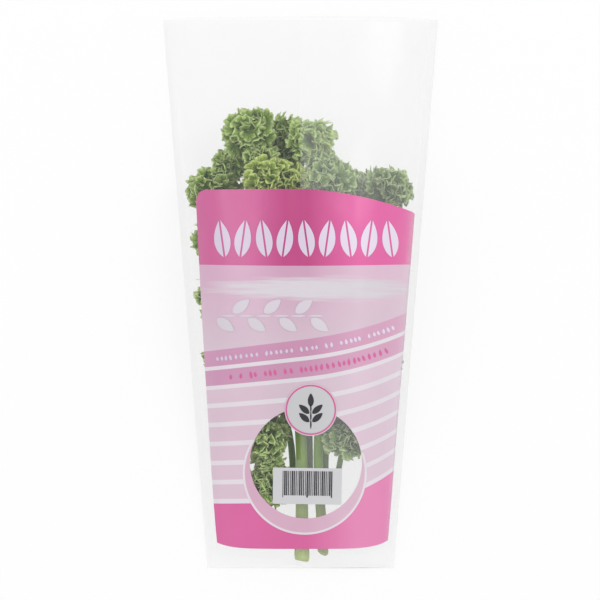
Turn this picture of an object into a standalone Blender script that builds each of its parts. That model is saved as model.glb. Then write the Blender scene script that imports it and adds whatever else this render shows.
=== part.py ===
"""A bunch of curly parsley in a tapered clear film sleeve, lying on its back.

Seven cut stalks fan out inside the sleeve. Each one carries its ruffled leaf heads on side branches.
The sleeve is two webs of film, welded along both sides and the base and open at the mouth.
X runs across the sleeve, +Y towards the mouth and the leaf tops, +Z up, away from the surface it lies on.
"""

import math

import bmesh
import bpy
from mathutils import Vector

# Sleeve, in metres
SLEEVE_LENGTH = 0.335
MOUTH_WIDTH = 0.168
BASE_WIDTH = 0.114
SIDE_WELD = 0.005
BASE_WELD = 0.0015
FILM = 0.0005
TOUCH_GAP = 0.0003
SECTION_POWER = 2.6
BASE_FOLD = 0.006

# Height of the sleeve's crown above its flat back, at places along its length
CROWN = (
    (-0.1675, 0.0125),
    (-0.150, 0.0150),
    (-0.125, 0.0195),
    (-0.090, 0.030),
    (-0.050, 0.044),
    (-0.010, 0.054),
    (0.030, 0.057),
    (0.065, 0.055),
    (0.095, 0.049),
    (0.125, 0.035),
    (0.1675, 0.026),
)

# Leaf heads
ROW_PITCH = 0.034
FULL_ROWS = (0.066, 0.032, -0.002)
HEAD = Vector((0.0158, 0.0162, 0.0110))
SIDE_HEAD = Vector((0.0165, 0.0162, 0.0130))
HEAD_COLUMN = 0.0170
HEAD_LOBES = 4
LOBE_DEPTH = 0.12
CLEARANCE = 0.0016

# Stalks
WAIST_Y = -0.100
FORK_Y = -0.022
FORK_Z = 0.0225
STALK_STEP = 0.017
BRANCH_RADIUS = 0.0012
BRANCH_DROP = 0.021
BRANCH_REACH = 1.12
STEM_SIDES = 10
BRANCH_SIDES = 6

HALF = SLEEVE_LENGTH / 2
BACK_TOP = FILM + TOUCH_GAP


def clear_scene():
    for thing in list(bpy.data.objects):
        bpy.data.objects.remove(thing)


def material(name, colour, roughness, alpha=1.0):
    made = bpy.data.materials.new(name)
    made.use_nodes = True
    shader = made.node_tree.nodes["Principled BSDF"]
    shader.inputs["Base Color"].default_value = (*colour, 1.0)
    shader.inputs["Roughness"].default_value = roughness
    shader.inputs["Metallic"].default_value = 0.0
    shader.inputs["Alpha"].default_value = alpha
    return made


def node(name, mesh, finish):
    """A mesh object in the scene, with its one material."""
    made = bpy.data.objects.new(name, mesh)
    mesh.materials.append(finish)
    bpy.context.scene.collection.objects.link(made)
    return made


def mesh_from(bm, name):
    mesh = bpy.data.meshes.new(name)
    bm.to_mesh(mesh)
    bm.free()
    return mesh


def eased(stations, at):
    """The value at a place between (place, value) stations, level at each station."""
    if at <= stations[0][0]:
        return stations[0][1]
    for (low, first), (high, second) in zip(stations, stations[1:]):
        if at <= high:
            share = (at - low) / (high - low)
            return first + (second - first) * share * share * (3 - 2 * share)
    return stations[-1][1]


def straight(stations, at):
    """The value at a place between (place, value) stations, in straight runs."""
    for (low, first), (high, second) in zip(stations, stations[1:]):
        if at <= high:
            return first + (second - first) * max(0.0, at - low) / (high - low)
    return stations[-1][1]


# ---- Sleeve: its outline, its crown and its two webs ----


def half_width(y):
    return (BASE_WIDTH + (MOUTH_WIDTH - BASE_WIDTH) * (y + HALF) / SLEEVE_LENGTH) / 2


def crown(y):
    """Height inside the sleeve on its centre line, rounded down to nothing at the base fold."""
    rise = min(1.0, max(0.0, (y + HALF - BASE_WELD) / BASE_FOLD))
    smooth = sum(straight(CROWN, y + shift) for shift in (-0.012, -0.006, 0, 0.006, 0.012)) / 5
    return smooth * math.sqrt(1 - (1 - rise) ** 2)


def inside_height(x, y):
    """Height inside the sleeve at a place in plan."""
    share = min(1.0, abs(x) / (half_width(y) - SIDE_WELD))
    return crown(y) * (1 - share**SECTION_POWER) ** (1 / SECTION_POWER)


def front_web(finish):
    """One sheet, from weld to weld, that stands over the bunch in a crowned section."""
    across, fold_rows, rows = 22, 5, 26
    fold = [BASE_FOLD * (1 - math.cos(math.pi / 2 * i / fold_rows)) for i in range(fold_rows)]
    run = SLEEVE_LENGTH - BASE_WELD - BASE_FOLD
    places = [-HALF] + [-HALF + BASE_WELD + step for step in fold]
    places += [HALF - run + run * i / rows for i in range(rows + 1)]
    bm = bmesh.new()
    bmesh.ops.create_grid(bm, x_segments=across + 2, y_segments=len(places) - 1, size=1.0)
    for vert in bm.verts:
        column = round((vert.co.x + 1) / 2 * (across + 2))
        y = places[round((vert.co.y + 1) / 2 * (len(places) - 1))]
        turn = math.pi * (column - 1) / across - math.pi / 2
        if 0 < column < across + 2:
            share = math.copysign(abs(math.sin(turn)) ** (2 / SECTION_POWER), turn)
            x = (half_width(y) - SIDE_WELD) * share
            z = crown(y) * abs(math.cos(turn)) ** (2 / SECTION_POWER)
        else:
            x = math.copysign(half_width(y), vert.co.x)
            z = 0.0
        vert.co = Vector((x, y, BACK_TOP + z))
    bmesh.ops.recalc_face_normals(bm, faces=bm.faces)
    if sum(face.normal.z for face in bm.faces) < 0:
        bmesh.ops.reverse_faces(bm, faces=bm.faces)
    web = node("sleeve_front_web", mesh_from(bm, "front_web"), finish)
    thickness = web.modifiers.new("film", "SOLIDIFY")
    thickness.thickness = FILM
    thickness.offset = 1.0
    web.data.shade_smooth()
    return web


def back_web(finish):
    """The flat web that the bunch lies on."""
    bm = bmesh.new()
    corners = [
        bm.verts.new((side * half_width(y), y, 0.0))
        for side, y in ((-1, -HALF), (1, -HALF), (1, HALF), (-1, HALF))
    ]
    floor = bm.faces.new(corners)
    raised = bmesh.ops.extrude_face_region(bm, geom=[floor])["geom"]
    for item in raised:
        if isinstance(item, bmesh.types.BMVert):
            item.co.z += FILM
    bmesh.ops.recalc_face_normals(bm, faces=bm.faces)
    return node("sleeve_back_web", mesh_from(bm, "back_web"), finish)


# ---- Leaf heads: where each one sits between the webs, and its lobed shape ----


def highest_seat(x, y, size):
    """How high a head's centre can be with the whole head clear of the front web."""
    lowest = math.inf
    for ring in range(5):
        tilt = math.pi / 2 * ring / 4
        for step in range(8):
            turn = math.tau * step / 8
            across = size.x * math.sin(tilt) * math.cos(turn)
            along = size.y * math.sin(tilt) * math.sin(turn)
            roof = inside_height(x + across, y + along) - size.z * math.cos(tilt)
            lowest = min(lowest, roof)
    return BACK_TOP + lowest - CLEARANCE


def lowest_seat(size):
    return BACK_TOP + CLEARANCE / 2 + size.z


def front_seat(side, y, size=HEAD):
    x = side * HEAD_COLUMN
    return Vector((x, y, highest_seat(x, y, size))), size


def back_seat(side, y, size=HEAD):
    return Vector((side * HEAD_COLUMN, y, lowest_seat(size))), size


def side_seat(side, y, size=SIDE_HEAD):
    """Beside the middle columns, half way between its lowest and its highest place."""
    x = side * (half_width(y) - SIDE_WELD - size.x - 0.0020)
    return Vector((x, y, (lowest_seat(size) + highest_seat(x, y, size)) / 2)), size


def loose_seat(x, y, lift, size):
    """Any other place: lift runs from 0 at the back web to 1 at the front web."""
    low, high = lowest_seat(size), highest_seat(x, y, size)
    return Vector((x, y, low + (high - low) * lift)), size


def leaf_head(name, centre, size, turn, finish):
    """A curled head of leaflets as one closed lump, pulled in between its lobes."""
    bm = bmesh.new()
    bmesh.ops.create_uvsphere(bm, u_segments=16, v_segments=8, radius=1.0)
    for vert in bm.verts:
        around = math.atan2(vert.co.y, vert.co.x)
        flat = math.hypot(vert.co.x, vert.co.y)
        wave = math.cos(HEAD_LOBES * (around + turn + 0.5 * vert.co.z))
        pull = 1 - LOBE_DEPTH * flat * (1 - wave) / 2
        vert.co = Vector((vert.co.x * pull * size.x, vert.co.y * pull * size.y, vert.co.z * size.z))
    bmesh.ops.translate(bm, verts=bm.verts, vec=centre)
    head = node(name, mesh_from(bm, name), finish)
    head.data.shade_smooth()
    return head


# ---- Stalks: a tapering stem with a side branch to each of its heads ----


def middle_height(y):
    """Half way up the sleeve, between the front and the back heads."""
    return BACK_TOP + crown(y) / 2 - 0.0006


def tube(bm, places, radii, sides):
    """A closed round tube along places, made of rings bridged one to the next and capped at both ends."""
    rings = []
    for i, (place, radius) in enumerate(zip(places, radii)):
        ahead = places[min(i + 1, len(places) - 1)] - places[max(i - 1, 0)]
        turned = ahead.to_track_quat("Z", "Y").to_matrix().to_4x4()
        turned.translation = place
        drawn = bmesh.ops.create_circle(bm, segments=sides, radius=radius, matrix=turned)
        rings.append(drawn["verts"])
    for first, second in zip(rings, rings[1:]):
        edges = {edge for vert in first + second for edge in vert.link_edges if not edge.link_faces}
        ends = set(first) | set(second)
        edges = [edge for edge in edges if set(edge.verts) <= ends]
        if first is not rings[0]:
            edges += [edge for vert in first for edge in vert.link_edges if set(edge.verts) <= set(first)]
        bmesh.ops.bridge_loops(bm, edges=list(set(edges)))
    bm.faces.new(rings[0])
    bm.faces.new(rings[-1])


def stalk(name, route, heads, finish):
    """One stem from its cut end to its tip, joined to a branch that runs to just short of each head.

    route is a few points (x, y, z, radius) of the stem, with y rising. A z of None is half way up the sleeve.
    """
    low, high = route[0][1], route[-1][1]
    count = max(3, round((high - low) / STALK_STEP))
    rows = [low + (high - low) * i / count for i in range(count + 1)]
    middles = [y for y in rows if y > FORK_Y]
    heights = [(y, z) for _, y, z, _ in route if z is not None] + [(y, middle_height(y)) for y in middles]
    across = [(y, x) for x, y, _, _ in route]
    radii = [(y, radius) for _, y, _, radius in route]
    stem = [Vector((eased(across, y), y, eased(heights, y))) for y in rows]
    thickness = [eased(radii, y) for y in rows]
    bm = bmesh.new()
    tube(bm, stem, thickness, STEM_SIDES)
    bmesh.ops.recalc_face_normals(bm, faces=bm.faces)
    stem_object = node("stalk_" + name, mesh_from(bm, name), finish)

    bm = bmesh.new()
    for centre, size in heads:
        wanted = centre.y - BRANCH_DROP
        start = min(stem, key=lambda place: abs(place.y - wanted))
        away = start - centre
        depth = Vector((away.x / size.x, away.y / size.y, away.z / size.z)).length
        tip = centre + away * (BRANCH_REACH / depth)
        middle = start.lerp(tip, 0.5)
        tube(bm, [start, middle, tip], [BRANCH_RADIUS, BRANCH_RADIUS * 1.1, BRANCH_RADIUS * 0.8], BRANCH_SIDES)
    bmesh.ops.recalc_face_normals(bm, faces=bm.faces)
    branches = node("branches_" + name, mesh_from(bm, "branches_" + name), finish)
    branches.hide_render = True
    branches.display_type = "WIRE"
    fork = stem_object.modifiers.new("branches", "BOOLEAN")
    fork.operation = "UNION"
    fork.object = branches
    fork.use_self = True
    stem_object.data.shade_smooth()
    return stem_object


def leaf(name, route, heads, finishes):
    """One cut leaf: its stalk and its heads."""
    stalk(name, route, heads, finishes["stalk"])
    for number, (centre, size) in enumerate(heads, 1):
        turn = 0.37 * number + 2.1 * centre.x / HEAD.x
        leaf_head(f"leaf_{name}_{number}", centre, size, turn, finishes["leaf"])


def bunch(finishes):
    """The seven leaves of the bunch. Only the two main stalks reach the base of the sleeve."""
    upper, centre_row, lower = FULL_ROWS
    collar = lower - ROW_PITCH - 0.002
    short = Vector((0.0140, 0.0125, 0.0100))
    small = Vector((0.0150, 0.0155, 0.0078))
    narrow = Vector((0.0135, 0.0160, 0.0108))
    flat = Vector((0.0150, 0.0150, 0.0062))
    low_head = Vector((0.0135, 0.0165, 0.0100))
    shoulder = Vector((0.0165, 0.0140, 0.0130))
    tiny = Vector((0.0110, 0.0140, 0.0070))

    leaf(
        "main_left",
        route=[
            (0.0009, -0.1625, 0.0058, 0.0045),
            (0.0008, WAIST_Y, 0.0125, 0.0036),
            (-0.0060, FORK_Y, FORK_Z, 0.0026),
            (-0.0260, 0.0780, None, 0.0016),
        ],
        heads=[
            loose_seat(-0.0315, 0.0975, 0.95, HEAD),
            front_seat(-1, upper),
            back_seat(-1, upper),
            front_seat(-1, centre_row),
            back_seat(-1, centre_row),
        ],
        finishes=finishes,
    )
    leaf(
        "main_right",
        route=[
            (0.0137, -0.1590, 0.0050, 0.0034),
            (0.0106, WAIST_Y, 0.0120, 0.0031),
            (0.0140, FORK_Y, FORK_Z, 0.0019),
            (0.0210, 0.0460, None, 0.0014),
        ],
        heads=[
            front_seat(1, upper),
            back_seat(1, upper),
            front_seat(1, centre_row),
            back_seat(1, centre_row),
            front_seat(1, lower),
        ],
        finishes=finishes,
    )
    leaf(
        "middle",
        route=[
            (0.0058, -0.1220, 0.0040, 0.0022),
            (0.0056, WAIST_Y, 0.0045, 0.0022),
            (0.0035, FORK_Y, FORK_Z, 0.0020),
            (0.0010, 0.0790, None, 0.0014),
        ],
        heads=[
            loose_seat(0.0065, 0.0925, 0.95, short),
            loose_seat(-0.0090, 0.0940, 0.0, small),
            front_seat(-1, lower),
            loose_seat(0.0000, collar, 0.0, flat),
        ],
        finishes=finishes,
    )
    for side, label in ((-1, "left"), (1, "right")):
        start_x = (-0.0045, 0.0150)[side > 0]
        leaf(
            "outer_" + label,
            route=[
                (start_x, -0.1180, 0.0040, 0.0022),
                (start_x, WAIST_Y, 0.0045, 0.0022),
                (side * 0.0235, FORK_Y, FORK_Z, 0.0018),
                (side * 0.0310, 0.0460, None, 0.0014),
            ],
            heads=[
                side_seat(side, upper - 0.0025, shoulder),
                side_seat(side, centre_row),
                side_seat(side, lower),
                loose_seat(side * 0.0150, lower, 0.0, narrow),
                loose_seat(side * HEAD_COLUMN, collar, 1.0, small),
            ],
            finishes=finishes,
        )
    leaf(
        "low_left",
        route=[
            (-0.0150, -0.1480, 0.0040, 0.0022),
            (-0.0345, WAIST_Y, 0.0038, 0.0018),
            (-0.0400, -0.0700, 0.0050, 0.0014),
        ],
        heads=[
            side_seat(-1, collar),
            loose_seat(-0.0215, -0.0840, 1.0, low_head),
            loose_seat(-0.0185, -0.1155, 1.0, tiny),
        ],
        finishes=finishes,
    )
    leaf(
        "low_right",
        route=[
            (0.0215, -0.1240, 0.0040, 0.0022),
            (0.0235, WAIST_Y, 0.0038, 0.0018),
            (0.0330, -0.0700, 0.0050, 0.0014),
        ],
        heads=[
            side_seat(1, collar),
            loose_seat(0.0280, -0.0840, 1.0, low_head),
        ],
        finishes=finishes,
    )


def main():
    clear_scene()
    finishes = {
        "leaf": material("curly parsley leaf", (0.10, 0.19, 0.045), 0.55),
        "stalk": material("parsley stalk", (0.24, 0.38, 0.09), 0.40),
        "film": material("clear polypropylene film", (0.93, 0.94, 0.95), 0.15, alpha=0.3),
        "printed": material("printed polypropylene film", (0.72, 0.28, 0.50), 0.25, alpha=0.6),
    }
    bunch(finishes)
    front_web(finishes["printed"])
    back_web(finishes["film"])


main()
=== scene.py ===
"""A bunch of curly parsley in a printed clear film sleeve, lying on its back on a pale surface."""

import math
import random

import bmesh
import bpy
from mathutils import Matrix, Vector, noise
from mathutils.bvhtree import BVHTree


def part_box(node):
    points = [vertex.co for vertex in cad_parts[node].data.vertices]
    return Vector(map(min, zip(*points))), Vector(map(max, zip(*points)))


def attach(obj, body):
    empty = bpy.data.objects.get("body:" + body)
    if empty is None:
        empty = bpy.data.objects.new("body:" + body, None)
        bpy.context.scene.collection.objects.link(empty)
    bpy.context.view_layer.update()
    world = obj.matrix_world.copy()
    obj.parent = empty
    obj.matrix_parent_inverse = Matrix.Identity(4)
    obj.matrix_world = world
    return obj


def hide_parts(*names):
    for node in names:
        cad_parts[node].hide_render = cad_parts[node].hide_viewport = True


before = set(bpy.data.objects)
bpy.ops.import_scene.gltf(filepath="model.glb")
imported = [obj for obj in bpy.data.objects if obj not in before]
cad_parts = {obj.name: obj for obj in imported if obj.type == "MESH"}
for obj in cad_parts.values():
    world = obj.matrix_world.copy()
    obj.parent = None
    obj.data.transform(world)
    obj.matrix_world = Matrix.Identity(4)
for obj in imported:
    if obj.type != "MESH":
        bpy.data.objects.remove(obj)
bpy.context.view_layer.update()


# ---- Camera ----
# Straight above the sleeve and far off on a long lens, as a flat product is photographed. The picture's
# top is towards the sleeve's mouth.

CAMERA_HEIGHT = 2.4
PICTURE_WIDTH = 0.3666
PICTURE_CENTRE = (-0.0003, -0.0037)

camera_data = bpy.data.cameras.new("camera")
camera_data.lens = camera_data.sensor_width * CAMERA_HEIGHT / PICTURE_WIDTH
camera = bpy.data.objects.new("camera", camera_data)
camera.location = (*PICTURE_CENTRE, CAMERA_HEIGHT)
bpy.context.scene.collection.objects.link(camera)
bpy.context.scene.camera = camera


# ---- Front web of the sleeve ----
# Polypropylene film, 40 microns thick, blown and slit, glossy and almost clear. It is welded to the back
# web along both sides and the base, stands over the bunch, and keeps the crease it was folded along.

# Drawn at 0.1 mm, thicker than the real film, so that its two faces stay apart.
FILM_THICKNESS = 0.0001
CREASE_X = -0.0016
CREASE_DEPTH = 0.0006
CREASE_WIDTH = 0.0022
WRINKLE_HEIGHT = 0.0007
SHARP_EDGE = math.radians(65)
# Ripples per metre, so one is some 14 mm across: the size of the soft waves in slack film.
FILM_RIPPLES = 70.0
FILM_BUMP = 0.0004
# Within this far of the middle a face is judged by its X and Z only, and past it by its end as well.
WEB_END = 0.150
LEAST_OUTWARD = 0.12
WELD_HEIGHT = 0.0015
WELD_GAP = 0.00002


def linear(code):
    """An sRGB hex colour as linear RGBA."""
    channels = [int(code[i : i + 2], 16) / 255 for i in (0, 2, 4)]
    return (*[c / 12.92 if c <= 0.04045 else ((c + 0.055) / 1.055) ** 2.4 for c in channels], 1.0)


def put(tree, kind, inputs=(), **settings):
    """Adds a node. inputs pairs an input's name or number with a value or another node's output."""
    made = tree.nodes.new(kind)
    for key, value in settings.items():
        setattr(made, key, value)
    for socket, value in dict(inputs).items():
        if isinstance(value, bpy.types.NodeSocket):
            tree.links.new(value, made.inputs[socket])
        else:
            made.inputs[socket].default_value = value
    return made


def finish(name, surface):
    """A material with these values on its shader's own sockets."""
    made = bpy.data.materials.new(name)
    made.use_nodes = True
    shader = made.node_tree.nodes["Principled BSDF"]
    for socket, value in surface.items():
        shader.inputs[socket].default_value = value
    return made, made.node_tree, shader


def piece(name, bm, finishes, smooth=True):
    """A finished mesh object at the origin that rides with the bunch."""
    for face in bm.faces:
        face.smooth = smooth
    for edge in bm.edges:
        edge.smooth = len(edge.link_faces) != 2 or edge.calc_face_angle() < SHARP_EDGE
    mesh = bpy.data.meshes.new(name)
    bm.to_mesh(mesh)
    bm.free()
    for surface in finishes:
        mesh.materials.append(surface)
    made = bpy.data.objects.new(name, mesh)
    bpy.context.scene.collection.objects.link(made)
    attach(made, "root")
    return made


def clear_film(name, tint, alpha):
    """Polypropylene film: glossy, and clear but for a faint milky haze. Two skins of it are seen at once."""
    made, tree, shader = finish(
        name, {"Base Color": linear(tint), "Roughness": 0.22, "IOR": 1.49, "Alpha": alpha}
    )
    place = put(tree, "ShaderNodeTexCoord")
    slub = put(
        tree,
        "ShaderNodeTexNoise",
        {"Vector": place.outputs["Object"], "Scale": FILM_RIPPLES, "Detail": 2.0},
    )
    bump = put(
        tree, "ShaderNodeBump", {"Height": slub.outputs["Fac"], "Distance": FILM_BUMP, "Strength": 0.35}
    )
    tree.links.new(bump.outputs["Normal"], shader.inputs["Normal"])
    return made


def outer_skin(node_name):
    """The outside of a film node as a smooth open sheet of four-sided faces."""
    bm = bmesh.new()
    bm.from_mesh(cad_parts[node_name].data)
    bmesh.ops.remove_doubles(bm, verts=bm.verts, dist=WELD_GAP)
    below = Vector((0, 0, -0.05))
    hidden = []
    for face in bm.faces:
        out = face.calc_center_median() - below
        out.y = min(0.0, out.y + WEB_END) + max(0.0, out.y - WEB_END)
        flat_edge = abs(face.normal.x) > 0.95 and face.calc_center_median().z < WELD_HEIGHT
        if face.normal.dot(out.normalized()) < LEAST_OUTWARD or flat_edge:
            hidden.append(face)
    bmesh.ops.delete(bm, geom=hidden, context="FACES")
    bmesh.ops.join_triangles(bm, faces=bm.faces, angle_face_threshold=1.2, angle_shape_threshold=3.0)
    return bm


def refined(bm, levels):
    """The bmesh after a subdivision surface of so many levels."""
    rough = bpy.data.meshes.new("rough")
    bm.to_mesh(rough)
    bm.free()
    holder = bpy.data.objects.new("rough", rough)
    bpy.context.scene.collection.objects.link(holder)
    rounding = holder.modifiers.new("rounding", "SUBSURF")
    rounding.levels = levels
    rounding.render_levels = levels
    evaluated = holder.evaluated_get(bpy.context.evaluated_depsgraph_get())
    bm = bmesh.new()
    bm.from_mesh(evaluated.to_mesh())
    evaluated.to_mesh_clear()
    bpy.data.objects.remove(holder)
    bpy.data.meshes.remove(rough)
    return bm


def film_relief(x, y, z):
    """How far the film stands off its plain shape: the fold line, and soft wrinkles where it is slack."""
    fold = -CREASE_DEPTH * math.exp(-(((x - CREASE_X) / CREASE_WIDTH) ** 2))
    slack = min(1.0, max(0.0, (z - 0.004) / 0.012))
    # Long waves some 18 by 60 mm, and half as high on them, short ones some 8 by 17 mm.
    wave = noise.noise(Vector((x * 55, y * 16, 0.3))) + 0.5 * noise.noise(Vector((x * 120, y * 60, 4.1)))
    return slack * (fold + WRINKLE_HEIGHT * wave)


front_bm = refined(outer_skin("sleeve_front_web"), 2)
for vert in front_bm.verts:
    vert.co.z += film_relief(*vert.co) - 0.0002
bmesh.ops.recalc_face_normals(front_bm, faces=front_bm.faces)
if sum(face.normal.z for face in front_bm.faces) < 0:
    bmesh.ops.reverse_faces(front_bm, faces=front_bm.faces)
for face in front_bm.faces:
    face.material_index = 1 if face.calc_center_median().x > CREASE_X else 0
film_tree = BVHTree.FromBMesh(front_bm)

# Left of the fold the film has a darker tint and less haze, painted shade, and to its right a lighter tint
# and more haze, painted light on the side that faces the key light.
shaded_clear_side = clear_film("polypropylene_film_clear_shaded", "cdd1ce", 0.036)
lit_hazy_side = clear_film("polypropylene_film_hazed_lit", "dfe2e0", 0.095)
front_film = piece("sleeve_front_film", front_bm, [shaded_clear_side, lit_hazy_side])
thickness = front_film.modifiers.new("thickness", "SOLIDIFY")
thickness.thickness = FILM_THICKNESS
thickness.offset = -1.0
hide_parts("sleeve_front_web")


# ---- Back web of the sleeve ----
# The same film, flat under the bunch. It is the face that the sleeve rests on.

back_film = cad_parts["sleeve_back_web"]
back_side = clear_film("polypropylene_film_back", "c8ccca", 0.025)
back_film.data.materials.clear()
back_film.data.materials.append(back_side)


# ---- Print ----
# Flexographic ink on the film, opaque pinks with a white backing, so the leaves show through only as a darker
# tone, which is painted shade in the ink. Plain stripes sweep up to the right, and a round window is left
# clear of ink.

INK_LIFT = 0.00012
INK_THICKNESS = 0.00006
PRINT_COLUMNS = 84
ROW_STEP = 0.0026
WINDOW_CENTRE = (0.0033, -0.1022)
WINDOW_RADIUS = 0.0339
SWEEP_LEFT = -0.0586
SWEEP_TOP = -0.0349
SWEEP_FALL = 0.0911
BAND_TOP = 0.0625
BAND_BOTTOM = 0.0167
BAND_CORNER = 0.006
BAND_FALL = 0.0135
BAND_HALF = 0.0696
PRINT_FOOT = -0.1506
BASE_EDGE = -0.1548
BASE_RISE = 0.0037
BASE_HALF = 0.0515
# Each side of the print: where it starts at the foot, how far it spreads, and over what height
LEFT_SIDE = (-0.0508, 0.0122, 0.2073)
RIGHT_SIDE = (0.0534, 0.0162, 0.1994)
STRIPE_PITCH = 0.01160
STRIPE_LINE = 0.0028
BRUSH_CENTRE = (0.0090, 0.0030)
BRUSH_REACH = (0.0560, 0.0095)
# Streaks per metre along X and Y: some 31 mm long and 2 mm wide. A real brush's are finer than the
# picture can show, so these are drawn as coarse as they need to be.
BRUSH_STREAKS = (32.0, 520.0, 1.0)
# Clouds and ripples per metre: painted shade in patches some 17 mm across, where leaves lie under the ink, on
# film that ripples every 11 mm
INK_SHADE_CLOUDS = 60.0
INK_RIPPLES = 90.0
INK_BUMP = 0.0003
# The span across which each ink turns darker in the middle, painted shade, and lighter to the right, painted
# light.
INK_SHADE_SPAN = (-0.065, 0.068)
FIELD_FADE = (0.012, -0.055)


def sweep(x, level):
    """How far a stripe has risen at x. The stripes fan out, the lower ones flat first and then steeper."""
    down = (SWEEP_TOP - level) / SWEEP_FALL
    slope = 0.125 - 0.100 * down
    bend = 3.4 + 6.0 * max(0.0, down) ** 1.5
    return slope * (x - SWEEP_LEFT) + bend * max(0.0, x) ** 2.2


def band_top(x):
    """The upper edge of the print, level on the left and falling away on the right."""
    corner = max(0.0, print_left(BAND_TOP) + BAND_CORNER - x)
    rounded = BAND_CORNER - math.sqrt(max(0.0, BAND_CORNER**2 - corner**2))
    return BAND_TOP - rounded - BAND_FALL * (max(0.0, x) / BAND_HALF) ** 1.7


def band_bottom(x):
    """The lower edge of the magenta band, very slightly bowed."""
    return BAND_BOTTOM + 0.0006 * (x / 0.05) ** 2


def print_bottom(x):
    """The lower edge of the print, flat in the middle and turned up at its corners."""
    return BASE_EDGE + BASE_RISE * (abs(x) / BASE_HALF) ** 6


def print_left(y):
    """The left edge of the print at this height."""
    start, spread, rise = LEFT_SIDE
    share = min(1.0, max(0.0, (y - PRINT_FOOT) / rise))
    return start - spread * share**0.82


def print_right(y):
    """The right edge of the print at this height."""
    start, spread, rise = RIGHT_SIDE
    return start + spread * min(1.1, (y - PRINT_FOOT) / rise)


def swept(level):
    """The edge of a stripe that starts at this height on the left."""
    return lambda x: level + sweep(x, level)


# Each stripe, from the top down: its ink and its lower edge
stripes = [
    ("magenta", band_bottom),
    ("field", swept(-0.0349)),
    ("rose", swept(-0.0445)),
    ("white", swept(-0.0468)),
    ("rose", swept(-0.0561)),
    ("white", swept(-0.0585)),
]
stripe_level = -0.0668
for number in range(6):
    stripes.append(("pale", swept(stripe_level)))
    stripes.append(("white", swept(stripe_level - STRIPE_LINE)))
    stripe_level -= STRIPE_PITCH
stripes.append(("base", print_bottom))


def dry_brush(tree, place, axes, colour, brushed):
    """A white band over the ink as a dry brush leaves it: long torn streaks that thin out to its edges."""
    streaks = put(
        tree, "ShaderNodeMapping", {"Vector": place.outputs["Object"], "Scale": BRUSH_STREAKS}
    )
    torn = put(
        tree, "ShaderNodeTexNoise", {"Vector": streaks.outputs["Vector"], "Scale": 1.0, "Detail": 3.0}
    )
    cover = torn.outputs["Fac"]
    for axis, middle, reach, weight in (
        ("Y", BRUSH_CENTRE[1], BRUSH_REACH[1], 0.75),
        ("X", BRUSH_CENTRE[0], BRUSH_REACH[0], 0.35),
    ):
        off = put(tree, "ShaderNodeMath", {0: axes.outputs[axis], 1: -middle}, operation="ADD")
        away = put(tree, "ShaderNodeMath", {0: off.outputs["Value"], 1: 1 / reach}, operation="MULTIPLY")
        square = put(
            tree, "ShaderNodeMath", {0: away.outputs["Value"], 1: away.outputs["Value"]}, operation="MULTIPLY"
        )
        less = put(
            tree,
            "ShaderNodeMath",
            {0: square.outputs["Value"], 1: -weight, 2: cover},
            operation="MULTIPLY_ADD",
        )
        cover = less.outputs["Value"]
    share = put(
        tree, "ShaderNodeMapRange", {"Value": cover, "From Min": -0.04, "From Max": 0.36, "To Max": 0.9}
    )
    mixed = put(
        tree,
        "ShaderNodeMix",
        {"Factor": share.outputs["Result"], "A": colour, "B": linear(brushed)},
        data_type="RGBA",
    )
    return mixed.outputs["Result"]


def ink(name, left, middle, right, shade_mottle=0.04, below=None, brushed=None):
    """Flexographic ink: satin, darker in the middle as painted shade where it lies on the leaves, lighter to
    the right as painted light from the key light, and in patches of painted shade.
    """
    made, tree, shader = finish(name, {"Roughness": 0.36, "IOR": 1.49, "Specular IOR Level": 0.45})
    place = put(tree, "ShaderNodeTexCoord")
    axes = put(tree, "ShaderNodeSeparateXYZ", {0: place.outputs["Object"]})
    across = put(
        tree,
        "ShaderNodeMapRange",
        {"Value": axes.outputs["X"], "From Min": INK_SHADE_SPAN[0], "From Max": INK_SHADE_SPAN[1]},
    )
    ramp = put(tree, "ShaderNodeValToRGB", {"Fac": across.outputs["Result"]})
    stops = ramp.color_ramp.elements
    stops[0].color = linear(left)
    stops[1].color = linear(right)
    for share, shade in ((0.28, left), (0.42, middle), (0.52, middle), (0.74, right)):
        stops.new(share).color = linear(shade)
    colour = ramp.outputs["Color"]
    if below:
        down = put(
            tree,
            "ShaderNodeMapRange",
            {"Value": axes.outputs["Y"], "From Min": FIELD_FADE[0], "From Max": FIELD_FADE[1]},
        )
        mixed = put(
            tree,
            "ShaderNodeMix",
            {"Factor": down.outputs["Result"], "A": colour, "B": linear(below)},
            data_type="RGBA",
        )
        colour = mixed.outputs["Result"]
    if brushed:
        colour = dry_brush(tree, place, axes, colour, brushed)
    cloud = put(
        tree, "ShaderNodeTexNoise", {"Vector": place.outputs["Object"], "Scale": INK_SHADE_CLOUDS, "Detail": 3.0}
    )
    amount = put(
        tree,
        "ShaderNodeMapRange",
        {"Value": cloud.outputs["Fac"], "To Min": 1.0 - shade_mottle, "To Max": 1.0 + shade_mottle},
    )
    shaded = put(
        tree,
        "ShaderNodeVectorMath",
        {0: colour, "Scale": amount.outputs["Result"]},
        operation="SCALE",
    )
    tree.links.new(shaded.outputs["Vector"], shader.inputs["Base Color"])
    slub = put(
        tree, "ShaderNodeTexNoise", {"Vector": place.outputs["Object"], "Scale": INK_RIPPLES, "Detail": 2.0}
    )
    bump = put(
        tree, "ShaderNodeBump", {"Height": slub.outputs["Fac"], "Distance": INK_BUMP, "Strength": 0.3}
    )
    tree.links.new(bump.outputs["Normal"], shader.inputs["Normal"])
    return made


# Each ink: its colour at the left, in the middle and at the right of the print. The darker middle is painted
# shade and the lighter right is painted light.
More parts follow.
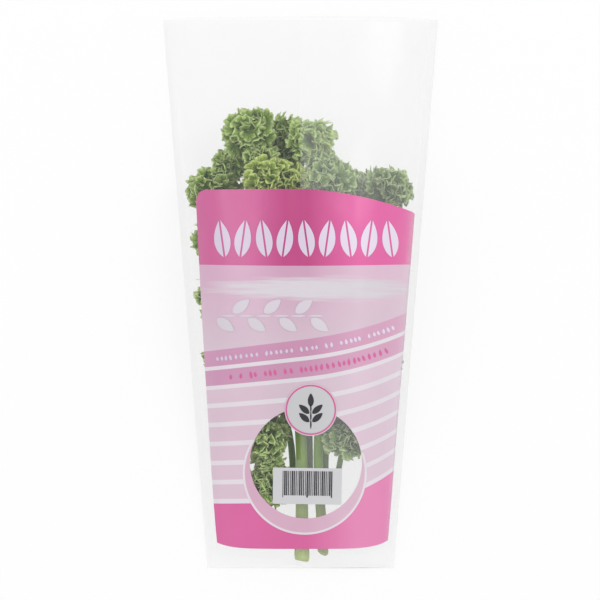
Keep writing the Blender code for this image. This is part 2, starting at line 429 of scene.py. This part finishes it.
inks = {
    "magenta": ink("flexo_ink_magenta", "c05c8f", "b04179", "d5609c"),
    "field": ink(
        "flexo_ink_pale_pink", "c8a2b9", "be96ad", "d0b2c4", below="ccc0c9", brushed="cbc7cd"
    ),
    "rose": ink("flexo_ink_rose", "c08cab", "bc88a6", "cc9cb7"),
    "pale": ink("flexo_ink_blush", "ceb5c4", "c6b2be", "d2bcca"),
    "white": ink("flexo_ink_white", "d6cfd5", "d0cbd0", "d8d2d8"),
    "base": ink("flexo_ink_base_magenta", "cb5f96", "c85c92", "d881ad"),
    "ring": ink("flexo_ink_ring", "c9a1b6", "c9a1b6", "cfaec0"),
    "badge": ink("flexo_ink_badge_grey", "bcbcbe", "bcbcbe", "c4c4c6", shade_mottle=0.02),
    "badge_rim": ink("flexo_ink_badge_rim", "d4c0cb", "d4c0cb", "dac8d2", shade_mottle=0.02),
    "badge_line": ink("flexo_ink_badge_line", "c85c92", "c85c92", "cc659a", shade_mottle=0.02),
    "charcoal": ink("flexo_ink_charcoal", "2c2a30", "2c2a30", "2c2a30", shade_mottle=0.02),
    "motif": ink("flexo_ink_motif_white", "c9bdd0", "c9bdd0", "d8cede", shade_mottle=0.03),
    "faint": ink("flexo_ink_faint_white", "c9c2cb", "c9c2cb", "d0cad2", shade_mottle=0.03),
    "panel": ink("flexo_ink_panel_grey", "c3c3c6", "c3c3c6", "c6c6c9", shade_mottle=0.02),
}


def drape(bm, layer):
    """Lays a flat print on the film, each layer on the one before."""
    for vert in bm.verts:
        found = film_tree.ray_cast(Vector((vert.co.x, vert.co.y, 1.0)), Vector((0, 0, -1)))[0]
        vert.co.z = found.z + INK_LIFT * layer + (INK_THICKNESS if vert.co.z > 0.5 else 0.0)


def thickened(bm):
    """A flat print one unit thick, from 0 up, before it is draped."""
    bmesh.ops.reverse_faces(bm, faces=[face for face in bm.faces if face.normal.z < 0])
    bmesh.ops.solidify(bm, geom=list(bm.faces), thickness=-1.0)
    bmesh.ops.recalc_face_normals(bm, faces=bm.faces)
    lowest = min(vert.co.z for vert in bm.verts)
    bmesh.ops.translate(bm, verts=bm.verts, vec=(0, 0, -lowest))


def printed(name, bm, finishes, layer):
    """A flat print as a piece of its own on the front film."""
    bm.normal_update()
    thickened(bm)
    drape(bm, layer)
    made = piece(name, bm, finishes)
    return made


def stripe_sheet():
    """One sheet whose rows follow the stripes' edges, with the ink of each stripe on its rows."""
    edges = [band_top] + [edge for _, edge in stripes]
    rows = []
    for number in range(len(stripes)):
        middle = edges[number](0.0) - edges[number + 1](0.0)
        count = max(1, round(middle / ROW_STEP))
        rows += [(number, step / count) for step in range(count)]
    rows.append((len(stripes) - 1, 1.0))
    bm = bmesh.new()
    bmesh.ops.create_grid(bm, x_segments=PRINT_COLUMNS, y_segments=len(rows) - 1, size=1.0)
    for vert in bm.verts:
        share = (vert.co.x + 1) / 2
        row = round((1 - vert.co.y) / 2 * (len(rows) - 1))
        number, part = rows[row]
        x = -0.06 + 0.12 * share
        for _ in range(4):
            y = edges[number](x) * (1 - part) + edges[number + 1](x) * part
            x = print_left(y) * (1 - share) + print_right(y) * share
        vert.co = Vector((x, y, row))
    order = list(inks)
    for face in bm.faces:
        row = round(min(vert.co.z for vert in face.verts))
        face.material_index = order.index(stripes[rows[row][0]][0])
    for vert in bm.verts:
        vert.co.z = 0.0
    return bm


def disc_cutter(centre, radius):
    """A round block that stands through the flat print."""
    bm = bmesh.new()
    turned = Matrix.Translation((*centre, 0.5))
    bmesh.ops.create_cone(
        bm, cap_ends=True, segments=128, radius1=radius, radius2=radius, depth=4.0, matrix=turned
    )
    mesh = bpy.data.meshes.new("window_cutter")
    bm.to_mesh(mesh)
    bm.free()
    made = bpy.data.objects.new("window_cutter", mesh)
    bpy.context.scene.collection.objects.link(made)
    return made


def with_window(bm):
    """The flat print with the round window cut out of it."""
    bm.normal_update()
    thickened(bm)
    mesh = bpy.data.meshes.new("uncut")
    bm.to_mesh(mesh)
    bm.free()
    uncut = bpy.data.objects.new("uncut", mesh)
    bpy.context.scene.collection.objects.link(uncut)
    cutter = disc_cutter(WINDOW_CENTRE, WINDOW_RADIUS)
    cut = uncut.modifiers.new("window", "BOOLEAN")
    cut.operation = "DIFFERENCE"
    cut.object = cutter
    evaluated = uncut.evaluated_get(bpy.context.evaluated_depsgraph_get())
    bm = bmesh.new()
    bm.from_mesh(evaluated.to_mesh())
    evaluated.to_mesh_clear()
    for helper in (uncut, cutter):
        bpy.data.objects.remove(helper)
    return bm


sheet_bm = with_window(stripe_sheet())
drape(sheet_bm, 1)
stripe_print = piece("print_stripes", sheet_bm, list(inks.values()))


# ---- Window ring, badge and code panel ----
# More ink on the same film: a crescent round the lower half of the window with a white rim, a round badge
# with a plain sprig on it over the top of the window, and a grey panel with plain bars across the window.

RING_CENTRE = Vector((0.0026, -0.1085))
RING_RADIUS = 0.0363
RIM_RADIUS = 0.0376
BADGE_CENTRE = Vector((0.0062, -0.0698))
BADGE_RADIUS = 0.0158
BADGE_LINE = (0.0143, 0.0152)
PANEL_CENTRE = Vector((0.0041, -0.1163))
PANEL_SIZE = (0.0416, 0.0222)
PANEL_TURN = math.radians(-0.9)
# The bars stand at regular steps and encode nothing. The guard bars at the ends and middle are longer.
BAR_COUNT = 27
BARS_WIDE = 0.0306
BAR_TALL = 0.0150
GUARD_TALL = 0.0162
BARS_TOP = 0.0092


def window_edge(angle):
    """How far the window's edge is from the ring's centre at this angle."""
    offset = Vector(WINDOW_CENTRE) - RING_CENTRE
    ahead = Vector((math.cos(angle), math.sin(angle)))
    along = offset.dot(ahead)
    aside = offset.length_squared - along**2
    return along + math.sqrt(WINDOW_RADIUS**2 - aside)


def arc_band(inner, outer, centre, start, end, segments, rows=3):
    """A flat band between two radii, each a number or a function of the angle."""
    bm = bmesh.new()
    bmesh.ops.create_grid(bm, x_segments=segments, y_segments=rows, size=1.0)
    for vert in bm.verts:
        angle = start + (end - start) * (vert.co.x + 1) / 2
        share = (vert.co.y + 1) / 2
        low = inner(angle) if callable(inner) else inner
        high = outer(angle) if callable(outer) else outer
        radius = low * (1 - share) + max(high, low) * share
        vert.co = Vector((centre.x + radius * math.cos(angle), centre.y + radius * math.sin(angle), 0))
    bmesh.ops.remove_doubles(bm, verts=bm.verts, dist=0.00001)
    return bm


angles = [step / 200 * math.pi for step in range(-300, 101)]
tips = [angle for angle in angles if window_edge(angle) < RING_RADIUS]
ring_bm = arc_band(window_edge, RING_RADIUS, RING_CENTRE, min(tips), max(tips), 110, rows=4)
printed("print_window_ring", ring_bm, [inks["ring"]], 2)
rim_bm = arc_band(
    lambda angle: max(RING_RADIUS, window_edge(angle)),
    RIM_RADIUS,
    RING_CENTRE,
    min(tips),
    max(tips),
    120,
    rows=1,
)
printed("print_window_rim", rim_bm, [inks["white"]], 2)

for name, inner, outer, colour, layer in (
    ("print_badge_rim", 0.0, BADGE_RADIUS, "badge_rim", 3),
    ("print_badge_face", 0.0, BADGE_LINE[0], "badge", 4),
    ("print_badge_line", *BADGE_LINE, "badge_line", 5),
):
    band_bm = arc_band(inner, outer, BADGE_CENTRE, 0.0, math.tau, 72, rows=4)
    printed(name, band_bm, [inks[colour]], layer)


def leaf_shape(bm, middle, length, width, turn, split=0.0):
    """A plain pointed leaf, flat, as one blade or as two halves on either side of a bare midrib."""
    place = Matrix.Translation((middle.x, middle.y, 0)) @ Matrix.Rotation(turn, 4, "Z")
    halves = (-1, 1) if split else (0,)
    for half in halves:
        grid = bmesh.ops.create_grid(bm, x_segments=6, y_segments=14, size=1.0)["verts"]
        for vert in grid:
            along = (vert.co.y + 1) / 2
            bulge = math.sin(math.pi * along**0.85) ** 0.75 * width / 2
            across = vert.co.x * bulge
            if half:
                across = half * (split / 2 + max(0.0, bulge - split / 2) * (vert.co.x + 1) / 2)
            vert.co = place @ Vector((across, (along - 0.5) * length, 0))
    bmesh.ops.remove_doubles(bm, verts=bm.verts, dist=0.00001)


sprig_bm = bmesh.new()
for step, side in ((-1.0, -1), (-1.0, 1), (0.1, -1), (0.1, 1), (1.3, 0)):
    spot = BADGE_CENTRE + Vector((side * 0.0040, step * 0.0046))
    leaf_shape(sprig_bm, spot, 0.0082, 0.0036, -side * 0.85)
for step in range(3):
    leaf_shape(sprig_bm, BADGE_CENTRE + Vector((0.0, -0.0085 + step * 0.0050)), 0.0062, 0.0009, 0.0)
printed("print_badge_sprig", sprig_bm, [inks["charcoal"]], 5)

panel_place = Matrix.Translation((*PANEL_CENTRE, 0)) @ Matrix.Rotation(PANEL_TURN, 4, "Z")
panel_bm = bmesh.new()
panel_size = Matrix.Diagonal((PANEL_SIZE[0] / 2, PANEL_SIZE[1] / 2, 1, 1))
bmesh.ops.create_grid(panel_bm, x_segments=24, y_segments=12, size=1.0, matrix=panel_place @ panel_size)
printed("print_code_panel", panel_bm, [inks["panel"]], 3)

bar_step = BARS_WIDE / BAR_COUNT
bars_bm = bmesh.new()
for number in range(BAR_COUNT):
    width = bar_step * (0.34 + 0.15 * (number * 7 % 4))
    tall = GUARD_TALL if number in (0, BAR_COUNT // 2, BAR_COUNT - 1) else BAR_TALL
    spot = Vector((-BARS_WIDE / 2 + bar_step * (number + 0.5), BARS_TOP - tall / 2, 0))
    shape = Matrix.Translation(spot) @ Matrix.Diagonal((width / 2, tall / 2, 1, 1))
    bmesh.ops.create_grid(bars_bm, x_segments=1, y_segments=8, size=1.0, matrix=panel_place @ shape)
printed("print_code_bars", bars_bm, [inks["charcoal"]], 4)


# ---- Motifs on the bands ----
# Plain white leaf shapes along the magenta band, a faint sprig on the field and rows of small leaf marks
# on the rose stripes: more of the same ink, where a shop's own print would be.

LEAF_COUNT = 9
LEAF_TALL = 0.0222
LEAF_WIDE = 0.0098
LEAF_ROW_Y = 0.0330

row_bm = bmesh.new()
for number in range(LEAF_COUNT):
    x = -0.0470 + 0.0126 * number
    lean = 0.14 * (-1) ** number
    leaf_shape(row_bm, Vector((x, LEAF_ROW_Y)), LEAF_TALL, LEAF_WIDE, lean, split=0.0011)
printed("print_leaf_row", row_bm, [inks["motif"]], 2)

stem_bm = bmesh.new()
for number in range(6):
    spot = Vector((-0.0430 + 0.0104 * number, -0.0132))
    leaf_shape(stem_bm, spot, 0.0100, 0.0012, math.pi / 2)
printed("print_faint_stem", stem_bm, [inks["faint"]], 2)
faint_bm = bmesh.new()
for number in range(7):
    up = number % 2
    spot = Vector((-0.0450 + 0.0094 * number, -0.0075 if up else -0.0186))
    leaf_shape(faint_bm, spot, 0.0128, 0.0064, -0.9 if up else -2.2)
printed("print_faint_leaves", faint_bm, [inks["faint"]], 3)

for name, level, first, last, tall, gap, colour in (
    ("print_marks_upper", -0.0402, -0.0500, 0.0560, 0.0036, 0.0034, "motif"),
    ("print_marks_lower", -0.0518, -0.0420, 0.0540, 0.0044, 0.0036, "badge_line"),
):
    draw = random.Random(name)
    marks_bm = bmesh.new()
    x = first
    while x < last:
        slope = math.atan2(sweep(x + 0.001, level) - sweep(x, level), 0.001)
        height = tall * draw.uniform(0.65, 1.0)
        lean = slope + draw.uniform(-0.2, 0.2)
        leaf_shape(marks_bm, Vector((x, level + sweep(x, level))), height, 0.0017, lean)
        x += gap * draw.choice((0.72, 0.8, 0.88, 0.95, 1.0, 1.7))
    printed(name, marks_bm, [inks[colour]], 2)


# ---- Stalks ----
# Fresh parsley stalks, cut by knife: juicy, ridged lengthwise, smooth and faintly waxy. The cut ends are
# paler and a little ragged.

END_FLARE = 0.20
FLARE_LENGTH = 0.020
END_SLANT = 0.22
END_DEPTH = 0.0008
# Ridges per metre round the stalk and along it: some 2 mm apart and 110 mm long. Real ones are about a
# millimetre apart, too fine for the picture, so they are drawn twice as coarse.
STALK_RIDGES = (520.0, 9.0, 520.0)
RIDGE_BUMP = 0.0005
CUT_FADE = (-0.105, -0.160)
STALK_TONES = {
    "stalk_main_left": ("78982a", "a4b56a"),
    "stalk_main_right": ("6e9226", "9caa6c"),
    # The middle stalk lies lower, between the two main ones, and its darker tones are painted shade.
    "stalk_middle": ("4a6626", "758a4c"),
    "stalk_outer_left": ("5f7d36", "8a9a5c"),
    "stalk_outer_right": ("5f7d36", "8a9a5c"),
    "stalk_low_left": ("64823a", "8a9a5c"),
    "stalk_low_right": ("64823a", "8a9a5c"),
}


def stalk_flesh(name, fresh, cut):
    """Parsley stalk: a waxy skin with long pale ridges, which turns paler towards the cut end."""
    made, tree, shader = finish(name, {"Roughness": 0.42, "IOR": 1.42, "Specular IOR Level": 0.3})
    place = put(tree, "ShaderNodeTexCoord")
    axes = put(tree, "ShaderNodeSeparateXYZ", {0: place.outputs["Object"]})
    down = put(
        tree,
        "ShaderNodeMapRange",
        {"Value": axes.outputs["Y"], "From Min": CUT_FADE[0], "From Max": CUT_FADE[1]},
    )
    body = put(
        tree,
        "ShaderNodeMix",
        {"Factor": down.outputs["Result"], "A": linear(fresh), "B": linear(cut)},
        data_type="RGBA",
    )
    long_way = put(
        tree, "ShaderNodeMapping", {"Vector": place.outputs["Object"], "Scale": STALK_RIDGES}
    )
    streak = put(
        tree, "ShaderNodeTexNoise", {"Vector": long_way.outputs["Vector"], "Scale": 1.0, "Detail": 2.0}
    )
    amount = put(
        tree, "ShaderNodeMapRange", {"Value": streak.outputs["Fac"], "To Min": 0.62, "To Max": 1.42}
    )
    shaded = put(
        tree,
        "ShaderNodeVectorMath",
        {0: body.outputs["Result"], "Scale": amount.outputs["Result"]},
        operation="SCALE",
    )
    tree.links.new(shaded.outputs["Vector"], shader.inputs["Base Color"])
    bump = put(
        tree, "ShaderNodeBump", {"Height": streak.outputs["Fac"], "Distance": RIDGE_BUMP, "Strength": 0.5}
    )
    tree.links.new(bump.outputs["Normal"], shader.inputs["Normal"])
    return made


stalk_trees = {}
for node_name, (fresh, cut) in STALK_TONES.items():
    stem_bm = bmesh.new()
    stem_bm.from_mesh(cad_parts[node_name].data)
    bmesh.ops.remove_doubles(stem_bm, verts=stem_bm.verts, dist=WELD_GAP)
    bmesh.ops.join_triangles(
        stem_bm, faces=stem_bm.faces, angle_face_threshold=0.6, angle_shape_threshold=3.0
    )
    base_y = min(vert.co.y for vert in stem_bm.verts)
    ends = [vert.co.x for vert in stem_bm.verts if vert.co.y < base_y + END_DEPTH]
    axis_x = sum(ends) / len(ends)
    ragged = random.Random(node_name)
    for vert in stem_bm.verts:
        flare = max(0.0, 1 - (vert.co.y - base_y) / FLARE_LENGTH) if "main" in node_name else 0.0
        if vert.co.y < base_y + END_DEPTH:
            vert.co.y += ragged.uniform(-0.0014, 0.0006) - END_SLANT * (vert.co.x - axis_x)
        vert.co.x += (vert.co.x - axis_x) * END_FLARE * flare**2
    stalk_trees[node_name] = BVHTree.FromBMesh(stem_bm)
    stem = piece("fresh_" + node_name, stem_bm, [stalk_flesh("parsley_" + node_name, fresh, cut)])
    rounding = stem.modifiers.new("rounding", "SUBSURF")
    rounding.levels = 1
    rounding.render_levels = 1
    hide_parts(node_name)


# ---- Leaf heads ----
# Curly parsley: each head is a tuft of leaflets, thin and deeply cut, whose toothed margins are longer
# than the blade and so stand up in tight ruffles. The waxy skin is lighter along the veins, and each blade is
# painted darker at its foot, painted shade, and lighter at its margin, painted highlight.

BLADE_TEETH = 10
BLADE_COLUMNS = 5 * BLADE_TEETH
BLADE_ROWS = 5
BLADE_THICKNESS = 0.00025
BLADE_SPREAD = math.radians(112)
BLADE_RADIUS = (0.0062, 0.0084)
TOOTH_DEPTH = 0.34
RUFFLE_HEIGHT = 0.30
CURL_HEIGHT = 0.15
PETIOLE_RADIUS = 0.0006
# The blades reach out to an oval that bulges towards the corners of its box, and a few more grow inside
# it. The spread widens the oval past the box, so that neighbouring tufts mingle.
FILL_POWER = 3.0
SPREAD = Vector((1.17, 1.05, 1.0))
SIDE_SPREAD = Vector((1.12, 1.05, 1.0))
INNER_BLADES = 4
INNER_REACH = 0.008
# Veins across a blade's width: at its margin they are some 1.3 mm apart. Real ones are finer than the
# picture can show, so these are drawn as coarse as they need to be.
BLADE_VEINS = 21
VEIN_BUMP = 0.0002
# Clouds per metre, so patches of lighter and darker skin are some 6 mm across, like a leaflet
LEAF_CLOUDS = 180.0
# The furthest that a leaf goes past its head's box towards the sleeve's side, and the nearest that it
# comes to the film and the floor. The film is measured straight down, so a few tips of the outer tufts
# still cross it where its sides are steep.
SIDE_REACH = 0.0030
FILM_GAP = 0.0010
FLOOR_GAP = 0.0012


def leaf_blade(name, shaded_foot, lit_outer, margin):
    """Parsley leaf: a waxy green skin with lighter veins, painted darker at its foot as painted shade and
    lighter at its margin as painted highlight. The UV map runs across the blade in U and out to its margin in
    V.
    """
    made, tree, shader = finish(name, {"Roughness": 0.46, "IOR": 1.45, "Specular IOR Level": 0.35})
    place = put(tree, "ShaderNodeTexCoord")
    axes = put(tree, "ShaderNodeSeparateXYZ", {0: place.outputs["UV"]})
    outward = put(
        tree, "ShaderNodeMapRange", {"Value": axes.outputs["Y"], "From Min": 0.1, "From Max": 0.85}
    )
    blade = put(
        tree,
        "ShaderNodeMix",
        {"Factor": outward.outputs["Result"], "A": linear(shaded_foot), "B": linear(lit_outer)},
        data_type="RGBA",
    )
    rim = put(tree, "ShaderNodeMapRange", {"Value": axes.outputs["Y"], "From Min": 0.78, "From Max": 1.0})
    highlit_margin = put(
        tree,
        "ShaderNodeMix",
        {"Factor": rim.outputs["Result"], "A": blade.outputs["Result"], "B": linear(margin)},
        data_type="RGBA",
    )
    veins = put(
        tree, "ShaderNodeMath", {0: axes.outputs["X"], 1: BLADE_VEINS * math.tau}, operation="MULTIPLY"
    )
    ridge = put(tree, "ShaderNodeMath", {0: veins.outputs["Value"]}, operation="COSINE")
    cloud = put(
        tree, "ShaderNodeTexNoise", {"Vector": place.outputs["Object"], "Scale": LEAF_CLOUDS, "Detail": 3.0}
    )
    tone = put(
        tree, "ShaderNodeMath", {0: ridge.outputs["Value"], 1: 0.16, 2: 0.61}, operation="MULTIPLY_ADD"
    )
    amount = put(
        tree,
        "ShaderNodeMath",
        {0: cloud.outputs["Fac"], 1: 0.9, 2: tone.outputs["Value"]},
        operation="MULTIPLY_ADD",
    )
    shaded = put(
        tree,
        "ShaderNodeVectorMath",
        {0: highlit_margin.outputs["Result"], "Scale": amount.outputs["Value"]},
        operation="SCALE",
    )
    tree.links.new(shaded.outputs["Vector"], shader.inputs["Base Color"])
    bump = put(
        tree, "ShaderNodeBump", {"Height": ridge.outputs["Value"], "Distance": VEIN_BUMP, "Strength": 0.5}
    )
    tree.links.new(bump.outputs["Normal"], shader.inputs["Normal"])
    return made


leaf_tones = {
    "young": leaf_blade("parsley_leaf_young", "62792c", "97ad4c", "c0cc82"),
    "fresh": leaf_blade("parsley_leaf_fresh", "587234", "8fa957", "b9c98c"),
    "grey": leaf_blade("parsley_leaf_mature", "566f3c", "8ba461", "b5c492"),
}


def leaflet(bm, place, radius, draw):
    """One blade: a fan that opens from its foot, its margin toothed and thrown into curling ruffles."""
    phase = draw.uniform(0, math.tau)
    waves = draw.choice((3, 4, 4, 5))
    wide = draw.uniform(0.85, 1.1)
    cup = draw.uniform(-0.1, 0.4)
    fan = bmesh.ops.create_grid(
        bm, x_segments=BLADE_COLUMNS, y_segments=BLADE_ROWS, size=1.0, calc_uvs=True
    )["verts"]
    for vert in fan:
        turn, out = vert.co.x, ((vert.co.y + 1) / 2) ** 0.85
        tooth = 1 - abs(2 * ((turn + 1) / 2 * BLADE_TEETH % 1.0) - 1)
        swell = math.sin(turn * math.pi * waves + phase)
        curl = math.sin(turn * math.pi * BLADE_TEETH + 2.3 * phase)
        margin = TOOTH_DEPTH * tooth - TOOTH_DEPTH / 2 + 0.10 * curl
        reach = (0.04 + 0.96 * out) * (1 + out**3 * margin)
        lean = 0.24 * out**2 * math.cos(turn * math.pi * waves + phase)
        angle = turn * BLADE_SPREAD * wide + lean
        height = RUFFLE_HEIGHT * out**1.5 * swell + CURL_HEIGHT * out**3 * curl + cup * reach**2
        vert.co = place @ (Vector((math.sin(angle) * reach, math.cos(angle) * reach, height)) * radius)


def petiole(bm, start, end, radius):
    """A thin five-sided stem between two points."""
    along = end - start
    turned = along.to_track_quat("Z", "Y").to_matrix().to_4x4()
    turned.translation = (start + end) / 2
    bmesh.ops.create_cone(
        bm, cap_ends=True, segments=5, radius1=radius, radius2=radius * 0.7, depth=along.length, matrix=turned
    )


def ball_points(count):
    """Points spread evenly over a ball's surface, from its foot side to its far side."""
    for number in range(count):
        height = 1 - 2 * (number + 0.5) / count
        around = number * math.pi * (3 - math.sqrt(5))
        flat = math.sqrt(1 - height**2)
        yield Vector((flat * math.cos(around), flat * math.sin(around), height))


def tuft(name, centre, half, foot, count, tone, spread):
    """Leaflets that fill an oval round the centre and grow from the foot, a point on a stalk."""
    growth = (centre - foot).normalized()
    draw = random.Random(name)
    upright = growth.to_track_quat("Z", "Y").to_matrix().to_4x4()
    spun = upright @ Matrix.Rotation(draw.uniform(0, math.tau), 4, "Z")
    bm = bmesh.new()
    bm.loops.layers.uv.new("blade")
    spots = [*ball_points(count), *(spot * 0.3 for spot in ball_points(INNER_BLADES))]
    for spot in spots:
        out = spun @ spot.normalized()
        bulge = sum(abs(part) ** FILL_POWER for part in out) ** (-1 / FILL_POWER)
        filled = bulge * draw.uniform(0.86, 1.04)
        reach = Vector([part * wide * more * filled for part, wide, more in zip(out, half, spread)])
        radius = min(0.72 * reach.length, draw.uniform(*BLADE_RADIUS))
        outer = spot.length > 0.5
        root = centre + (reach * (1 - radius / reach.length) if outer else spot * INNER_REACH)
        sway = Vector((draw.gauss(0, 1), draw.gauss(0, 1), draw.gauss(0, 1)))
        ahead = (reach.normalized() + 0.35 * sway).normalized()
        facing = Vector((draw.gauss(0, 1), draw.gauss(0, 1), draw.gauss(0, 1) + 0.8))
        across = ahead.cross(facing).normalized()
        facing = across.cross(ahead).normalized()
        place = Matrix((across, ahead, facing)).transposed().to_4x4()
        place.translation = root
        leaflet(bm, place, radius, draw)
        petiole(bm, foot, root, PETIOLE_RADIUS)
    edge_x = abs(centre.x) + half.x + SIDE_REACH
    for vert in bm.verts:
        vert.co.x = min(max(vert.co.x, -edge_x), edge_x)
        roof = film_tree.ray_cast(Vector((vert.co.x, vert.co.y, 1.0)), Vector((0, 0, -1)))[0]
        if roof:
            vert.co.z = min(vert.co.z, roof.z - FILM_GAP)
        vert.co.z = max(vert.co.z, FLOOR_GAP)
    bmesh.ops.remove_doubles(bm, verts=bm.verts, dist=0.00003)
    made = piece(name, bm, [leaf_tones[tone]])
    body = made.modifiers.new("thickness", "SOLIDIFY")
    body.thickness = BLADE_THICKNESS
    body.offset = 0.0
    return made


def oval(node_name):
    """The centre and the half size of a leaf head's place."""
    low, high = (Vector(corner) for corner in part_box(node_name))
    return (low + high) / 2, (high - low) / 2


def nearest_stalk(point):
    """The nearest point to this one on any stalk."""
    found = [tree.find_nearest(point) for tree in stalk_trees.values()]
    return min(found, key=lambda hit: hit[3])[0]


FULL_BLADES = 28
PLAIN_BLADES = 18
SIDE_START = 0.035
# The heads that show above the print. These and the low ones, in the window, have more leaflets.
IN_SIGHT = (
    "main_left_1",
    "main_left_2",
    "main_right_1",
    "middle_1",
    "middle_2",
    "outer_left_1",
    "outer_right_1",
)
TONES = {"leaf_main_left_2": "young", "leaf_main_right_2": "fresh", "leaf_outer_left_1": "fresh"}
for node_name in sorted(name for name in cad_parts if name.startswith("leaf_")):
    centre, half = oval(node_name)
    label = node_name[len("leaf_") :]
    stem = "stalk_" + label.rsplit("_", 1)[0]
    foot = stalk_trees[stem].find_nearest(centre)[0]
    many = FULL_BLADES if label in IN_SIGHT or "low" in label else PLAIN_BLADES
    tone = TONES.get(node_name, "grey" if "right" in node_name else "fresh")
    spread = SIDE_SPREAD if abs(centre.x) > SIDE_START else SPREAD
    head = tuft("tuft_" + label, centre, half, foot, many, tone, spread)
    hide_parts(node_name)


# ---- Side shoots ----
# Smaller sprays of the same leaf on the stalks between the heads, which close most of the gaps.

SHOOT = Vector((0.0095, 0.0090, 0.0070))
SHOOT_BLADES = 14
# Each shoot: the two heads it stands between, how far it is from the first to the second, and its tone
PAIRS = (
    ("outer_left_1", "main_left_1", 0.45, "fresh"),
    ("main_left_1", "main_left_2", 0.50, "fresh"),
    ("middle_2", "main_left_2", 0.45, "fresh"),
    ("middle_1", "main_right_1", 0.50, "grey"),
    ("main_left_2", "main_right_1", 0.50, "young"),
    ("main_right_1", "outer_right_1", 0.42, "grey"),
    ("main_right_1", "outer_right_1", 0.62, "grey"),
    ("low_left_2", "low_left_3", 0.50, "fresh"),
)
for number, (first, second, share, tone) in enumerate(PAIRS, 1):
    start, end = oval("leaf_" + first)[0], oval("leaf_" + second)[0]
    middle = start.lerp(end, share)
    middle.z = min(start.z, end.z)
    tuft(f"side_shoot_{number}", middle, SHOOT, nearest_stalk(middle), SHOOT_BLADES, tone, SPREAD)


# ---- Floor and light ----
# A white light table, which gives off light itself so that the clear film leaves no shadow on it, under
# soft light from all round, a little stronger from the upper right.

FLOOR_HALF = 12.0
FLOOR_DROP = 0.0003

floor_bm = bmesh.new()
bmesh.ops.create_grid(floor_bm, x_segments=1, y_segments=1, size=FLOOR_HALF)
bmesh.ops.translate(floor_bm, verts=floor_bm.verts, vec=(0, 0, -FLOOR_DROP))
floor_mesh = bpy.data.meshes.new("floor")
floor_bm.to_mesh(floor_mesh)
floor_bm.free()
floor = bpy.data.objects.new("floor", floor_mesh)
bpy.context.scene.collection.objects.link(floor)
floor_finish, _, _ = finish(
    "white_light_table",
    {
        "Base Color": linear("606060"),
        "Roughness": 0.9,
        "Emission Color": (1.0, 1.0, 1.0, 1.0),
        "Emission Strength": 0.835,
    },
)
floor_mesh.materials.append(floor_finish)

world = bpy.data.worlds.new("studio")
world.use_nodes = True
world.node_tree.nodes["Background"].inputs["Color"].default_value = (1, 1, 1, 1)
world.node_tree.nodes["Background"].inputs["Strength"].default_value = 0.80
bpy.context.scene.world = world


def soft_light(name, place, size, power):
    """A square soft box that points at the bunch."""
    data = bpy.data.lights.new(name, "AREA")
    data.shape = "SQUARE"
    data.size = size
    data.energy = power
    made = bpy.data.objects.new(name, data)
    made.location = place
    made.rotation_euler = (-Vector(place)).to_track_quat("-Z", "Y").to_euler()
    bpy.context.scene.collection.objects.link(made)


soft_light("key_light", (1.3, 0.9, 1.9), 1.0, 20.0)
soft_light("fill_light", (-1.6, 0.3, 1.6), 1.4, 13.0)
bpy.context.scene.view_settings.view_transform = "Standard"
